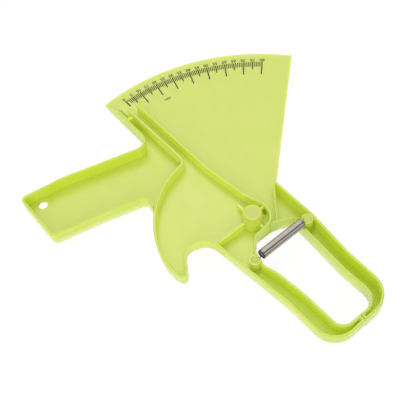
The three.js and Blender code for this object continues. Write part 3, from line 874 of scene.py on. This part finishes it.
@dataclass
class ExtensionSpring:
    """The close-wound spring: one wire from the eye on the frame's pin to the lever's.

    Lengths are in millimetres.
    """

    start: Vector
    degrees: float = 180.151178
    span: float = 48.579
    slack: float = 0.55
    eye_height: float = 12.2
    lift: float = 2.0
    radius: float = 3.18
    wire: float = 0.76
    turns: int = 48
    steps: int = 18
    lead: float = 5.1
    stem: float = 3.2
    eye_radius: float = 2.05
    eye_open: float = 50.0
    wire_sides: int = 2
    smooth_angle: float = 60.0

    def _place(self, along: float, side: float, up: float) -> Vector:
        """Finds a point on the line between the pins' eyes.

        Args:
            along: how far along the line it lies.
            side: how far beside it.
            up: how far above it.

        Returns:
            The point in metres.
        """
        angle = math.radians(self.degrees)
        ahead = Vector((math.cos(angle), math.sin(angle), 0))
        across = Vector((-math.sin(angle), math.cos(angle), 0))
        rise = Vector((0, 0, self.eye_height + up))
        return self.start + (ahead * along + across * side + rise) * MM

    def _eye(self, centre: float, toward: float) -> list[Vector]:
        """Bends the open eye about a pin, from its free end to its stem.

        Args:
            centre: where the pin stands along the spring's line.
            toward: 1 where the stem leaves ahead, and -1 where it leaves behind.

        Returns:
            The wire's points.
        """
        arc = 360.0 - 2 * self.eye_open
        turns = [math.radians(self.eye_open + arc * step / self.steps)
                 for step in range(self.steps + 1)]
        ring = [self._place(centre + toward * self.eye_radius * math.cos(turn),
                            toward * self.eye_radius * math.sin(turn), 0.0) for turn in turns]
        return [*ring, self._place(centre + toward * self.stem, 0.0, 0.0)]

    def _coil(self) -> list[Vector]:
        """Winds the coil, which widens over its first half turn and narrows over its last.

        Returns:
            The wire's points.
        """
        total = self.turns * self.steps
        half = self.steps // 2
        long = self.span - 2 * self.lead
        points = []
        for step in range(total + 1):
            widen = min(1.0, step / half, (total - step) / half)
            radius = self.lift + (self.radius - self.lift) * widen
            turn = 2 * math.pi * step / self.steps - math.pi / 2
            points.append(self._place(self.lead + long * step / total, radius * math.cos(turn),
                                      self.lift + radius * math.sin(turn)))
        return points

    def _wire(self, route: list[Vector]) -> bpy.types.Object:
        """Draws one round wire along a route.

        Args:
            route: the wire's points.

        Returns:
            The wire as a mesh.
        """
        curve = bpy.data.curves.new("wound_spring", "CURVE")
        curve.dimensions = "3D"
        curve.bevel_depth = self.wire / 2 * MM
        curve.bevel_resolution = self.wire_sides
        curve.use_fill_caps = True
        spline = curve.splines.new("POLY")
        spline.points.add(len(route) - 1)
        for point, place in zip(spline.points, route):
            point.co = (*place, 1.0)
        linked("wound_spring", curve)
        bpy.ops.object.convert(target="MESH")
        return bpy.context.active_object

    @staticmethod
    def _keep_places(piece: bpy.types.Object) -> None:
        """Stores each point's place about the pivot, so that the finish follows the stretch.

        Args:
            piece: the spring at rest.
        """
        places = piece.data.attributes.new(AS_WOUND, "FLOAT_VECTOR", "POINT")
        for vertex, place in zip(piece.data.vertices, places.data):
            place.vector = vertex.co - PIVOT

    def build(self) -> bpy.types.Object:
        """Winds the wire between the two pins' eyes.

        Returns:
            The spring.
        """
        last_eye = self._eye(self.span + self.slack, -1.0)
        piece = self._wire(self._eye(0.0, 1.0) + self._coil() + list(reversed(last_eye)))
        place_in_mesh(piece)
        outward(piece)
        settle(piece, self.smooth_angle, False)
        self._keep_places(piece)
        Finish.WIRE.dress(piece)
        self._place(self.lead + self.wire, 0, 0)
        self._place(self.span - self.lead - self.wire, 0, 0)
        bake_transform(piece)
        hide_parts("spring_coil", "spring_hook")
        LOG.info("%s: %d turns, %d faces", piece.name, self.turns, len(piece.data.polygons))
        return piece


@dataclass
class PrintedScale:
    """The millimetre scale on the fan, its numbers and unit, and the lever's index mark.

    Lengths and radii are in millimetres.
    """

    tip_radius: float = 106.29
    longest: int = 80
    tens: int = 10
    fives: int = 5
    outer: float = 155.0
    inner_tens: float = 141.7
    inner_fives: float = 147.3
    inner_ones: float = 150.0
    line_width: float = 0.74
    broad: float = 1.2
    fine: float = 0.9
    number_radius: float = 158.6
    number_height: float = 2.9
    unit: str = "mm"
    unit_radius: float = 137.2
    unit_degrees: float = 78.6
    unit_height: float = 2.4
    index_place: Pair = (-0.6, 149.1)
    index_length: float = 5.0
    index_width: float = 1.1
    ink: float = 0.03
    swell: float = 0.05
    cap_share: float = 0.7
    curve_steps: int = 3

    def degrees(self, reading: float) -> float:
        """The angle about the pivot of a reading in millimetres."""
        return 90.0 - 2.0 * math.degrees(math.asin(reading / (2.0 * self.tip_radius)))

    def _bar(self, foot: Vector, turn: float, length: float, width: float) -> bpy.types.Object:
        """Prints one bar.

        Args:
            foot: its middle on the surface that carries it.
            turn: its direction in degrees.
            length: its length.
            width: its width.

        Returns:
            The bar as a thin slab.
        """
        bpy.ops.object.select_all(action="DESELECT")
        bpy.ops.mesh.primitive_cube_add(
            size=1.0, location=foot + Vector((0, 0, self.ink * MM / 2)),
            rotation=(0, 0, math.radians(turn)), scale=(length * MM, width * MM, self.ink * MM))
        return bpy.context.active_object

    def _tick(self, reading: int) -> bpy.types.Object:
        """Prints one line of the scale.

        Args:
            reading: the opening of the jaws.

        Returns:
            The line as a thin slab on the plate.
        """
        inner = self.inner_ones
        if reading % self.tens == 0:
            inner = self.inner_tens
        elif reading % self.fives == 0:
            inner = self.inner_fives
        width = self.line_width * (self.fine if reading % self.fives else self.broad)
        turn = self.degrees(reading)
        return self._bar(plan((self.outer + inner) / 2, turn, PLATE_TOP), turn,
                         self.outer - inner, width)

    def _text(self, characters: str, height: float, radius: float,
              degrees: float) -> bpy.types.Object:
        """Prints plain characters on the plate, read from the arc's side.

        Args:
            characters: what is printed.
            height: the height of the characters.
            radius: the distance of their foot from the pivot.
            degrees: the angle of their middle about the pivot.

        Returns:
            The characters as a thin mesh.
        """
        bpy.ops.object.select_all(action="DESELECT")
        bpy.ops.object.text_add()
        text = bpy.context.active_object
        text.data.body = characters
        text.data.size = height * MM / self.cap_share
        text.data.align_x = "CENTER"
        text.data.align_y = "BOTTOM_BASELINE"
        text.data.extrude = self.ink * MM / 2
        text.data.offset = self.swell * MM
        text.data.resolution_u = self.curve_steps
        bpy.ops.object.convert(target="MESH")
        made = bpy.context.active_object
        place = plan(radius, degrees, PLATE_TOP + self.ink * MM / 2)
        turn = Matrix.Rotation(math.radians(degrees + 90.0), 4, "Z")
        made.matrix_world = Matrix.Translation(place) @ turn
        return made

    @staticmethod
    def _joined(name: str, marks: list[bpy.types.Object], body: str) -> bpy.types.Object:
        """Joins printed marks into one piece with its place in its mesh.

        Args:
            name: the piece's name.
            marks: the marks.
            body: the body that carries them.

        Returns:
            The piece.
        """
        only(marks[0])
        for mark in marks:
            mark.select_set(True)
        if len(marks) > 1:
            bpy.ops.object.join()
        piece = bpy.context.active_object
        piece.name = name
        piece.data.name = name
        place_in_mesh(piece)
        Finish.INK.dress(piece)
        ready(piece, body, "green_plastic")
        return piece

    def build(self) -> list[bpy.types.Object]:
        """Prints the scale.

        Returns:
            The ticks, the numbers, the unit and the index mark.
        """
        ticks = [self._tick(reading) for reading in range(self.longest + 1)]
        numbers = [self._text(str(reading), self.number_height, self.number_radius,
                              self.degrees(reading))
                   for reading in range(0, self.longest + 1, self.fives)]
        unit = self._text(self.unit, self.unit_height, self.unit_radius, self.unit_degrees)
        index = self._bar(around_pivot(*self.index_place, LEVER_TOP), 90.0, self.index_length,
                          self.index_width)
        return [self._joined("scale_ticks", ticks, "frame"),
                self._joined("scale_numbers", numbers, "frame"),
                self._joined("scale_unit", [unit], "frame"),
                self._joined("index_mark", [index], "lever")]


@dataclass
class ViewPoint:
    """The camera, set where it shows the caliper as the photograph does.

    Angles are in degrees, and the distance and the lens are in millimetres.
    """

    elevation: float = 57.0
    azimuth: float = -32.4856
    roll: float = -8.1991
    distance: float = 573.849
    lens: float = 72.0
    sensor: float = 36.0
    aim_pixel: Pair = (252.768, 223.947)
    image_pixels: float = 400.0
    clip_metres: Pair = (0.01, 20.0)

    def build(self) -> bpy.types.Object:
        """Places the camera.

        Returns:
            The camera.
        """
        elevation, roll = math.radians(self.elevation), math.radians(self.roll)
        turn = Matrix.Rotation(math.radians(self.azimuth), 3, "Z")
        back = Vector((0, -math.cos(elevation), math.sin(elevation)))
        level = Vector((1, 0, 0))
        rise = back.cross(level)
        right = level * math.cos(roll) + rise * math.sin(roll)
        up = rise * math.cos(roll) - level * math.sin(roll)
        per_pixel = self.distance / (self.lens / self.sensor * self.image_pixels)
        across = (self.aim_pixel[0] - self.image_pixels / 2) * per_pixel
        above = (self.image_pixels / 2 - self.aim_pixel[1]) * per_pixel
        place = (back * self.distance - right * across - up * above) * MM
        rotation = Matrix([turn @ right, turn @ up, turn @ back]).transposed().to_4x4()
        data = bpy.data.cameras.new("view")
        data.lens, data.sensor_width, data.sensor_fit = self.lens, self.sensor, "HORIZONTAL"
        data.clip_start, data.clip_end = self.clip_metres
        camera = linked("view", data)
        stand = around_pivot(0, 0, PLATE_TOP) + turn @ place
        camera.matrix_world = Matrix.Translation(stand) @ rotation
        bpy.context.scene.camera = camera
        return camera


@dataclass
class Studio:
    """A white table, a white room and two soft lamps.

    Lengths are in metres, and each lamp is its place, its side and its watts.
    """

    floor_parts: int = 4
    floor_size: float = 6.0
    floor_drop: float = 0.0004
    floor_colour: Colour = (0.92, 0.92, 0.92, 1.0)
    floor_glow: float = 1.06
    floor_white: float = 0.85
    white: Colour = (1.0, 1.0, 1.0, 1.0)
    room_light: float = 0.58
    top_lamp: tuple[Triple, float, float] = ((0.35, 0.6, 1.2), 1.0, 4.0)
    front_lamp: tuple[Triple, float, float] = ((-0.75, -0.85, 0.7), 0.9, 5.0)

    @staticmethod
    def seen(graph: Graph) -> Socket:
        """Finds the rays that come from the camera, from gloss or through glass.

        Args:
            graph: the graph that asks.

        Returns:
            1 on these rays.
        """
        def ray(kind: str) -> Socket:
            """One output of Light Path."""
            return graph.node("ShaderNodeLightPath", output=kind)

        def either(first: Socket, second: Socket) -> Socket:
            """The larger of two sockets."""
            return graph.node("ShaderNodeMath", {"operation": "MAXIMUM"}, {0: first, 1: second})
        beyond = either(ray("Is Glossy Ray"), ray("Is Transmission Ray"))
        return either(ray("Is Camera Ray"), beyond)

    def floor(self) -> bpy.types.Object:
        """Lays a white table that keeps a faint shadow.

        Returns:
            The table.
        """
        bpy.ops.object.select_all(action="DESELECT")
        bpy.ops.mesh.primitive_grid_add(
            size=self.floor_size, x_subdivisions=self.floor_parts,
            y_subdivisions=self.floor_parts, location=(0, 0, -self.floor_drop))
        floor = bpy.context.active_object
        floor.name = "studio_floor"
        place_in_mesh(floor)
        graph = Graph(bpy.data.materials.new("studio_white"))
        lit = graph.node("ShaderNodeBsdfDiffuse", {}, {"Color": self.floor_colour})
        glow = graph.node("ShaderNodeEmission", {}, {
            "Color": self.white, "Strength": self.floor_glow})
        table = graph.node("ShaderNodeMixShader", {}, {
            0: self.seen(graph) * self.floor_white, 1: lit, 2: glow})
        floor.data.materials.append(graph.finish(table))
        return floor

    def room(self) -> bpy.types.World:
        """Fills the room with soft white light.

        Returns:
            The world.
        """
        world = bpy.data.worlds.new("studio_room")
        bpy.context.scene.world = world
        graph = Graph(world)
        soft, white = (graph.node("ShaderNodeBackground", {}, {
            "Color": self.white, "Strength": strength}) for strength in (self.room_light, 1.0))
        return graph.finish(graph.node("ShaderNodeMixShader", {}, {
            0: self.seen(graph), 1: soft, 2: white}))

    @staticmethod
    def lamp(name: str, place: Triple, size: float, power: float) -> bpy.types.Object:
        """Hangs a square softbox that faces the caliper.

        Args:
            name: the lamp's name.
            place: where it hangs.
            size: its side.
            power: its power in watts.

        Returns:
            The lamp.
        """
        data = bpy.data.lights.new(name, "AREA")
        data.shape, data.size, data.energy = "SQUARE", size, power
        lamp = linked(name, data)
        lamp.location = place
        lamp.rotation_euler = (-Vector(place)).to_track_quat("-Z", "Y").to_euler()
        return lamp

    def build(self) -> None:
        """Sets up the table, the room and the lamps."""
        self.floor()
        self.room()
        self.lamp("softbox_top", *self.top_lamp)
        self.lamp("softbox_front", *self.front_lamp)
        bpy.context.scene.view_settings.view_transform = "Standard"


def main() -> None:
    """Builds the caliper and its studio in order."""
    logging.basicConfig(level=logging.INFO, format="%(message)s")
    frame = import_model()
    ViewPoint().build()
    Studio().build()
    Moulding("frame", "frame_moulding", "frame", Finish.LIME).build(frame)
    Moulding("lever", "lever_moulding", "lever", Finish.PALE_LIME).build(frame)
    PrintedScale().build()
    TurnedPin("pivot_cap", "pivot_button", "frame", around_pivot(0, 0), bottom=5.05, under=16.45,
              top=17.85, shank=1.95, head=6.6, ease=0.6, finish=Finish.TAN).build()
    for body, anchor in (("frame", FRAME_ANCHOR), ("lever", LEVER_ANCHOR)):
        TurnedPin(f"{body}_spring_pin", f"{body}_spring_rivet", body, around_pivot(*anchor),
                  bottom=4.6, under=13.1, top=13.9, shank=1.0, head=2.95, ease=0.3,
                  finish=Finish.BRIGHT_LIME).build()
    ExtensionSpring(around_pivot(*FRAME_ANCHOR)).build()


if __name__ == "__main__":
    main()
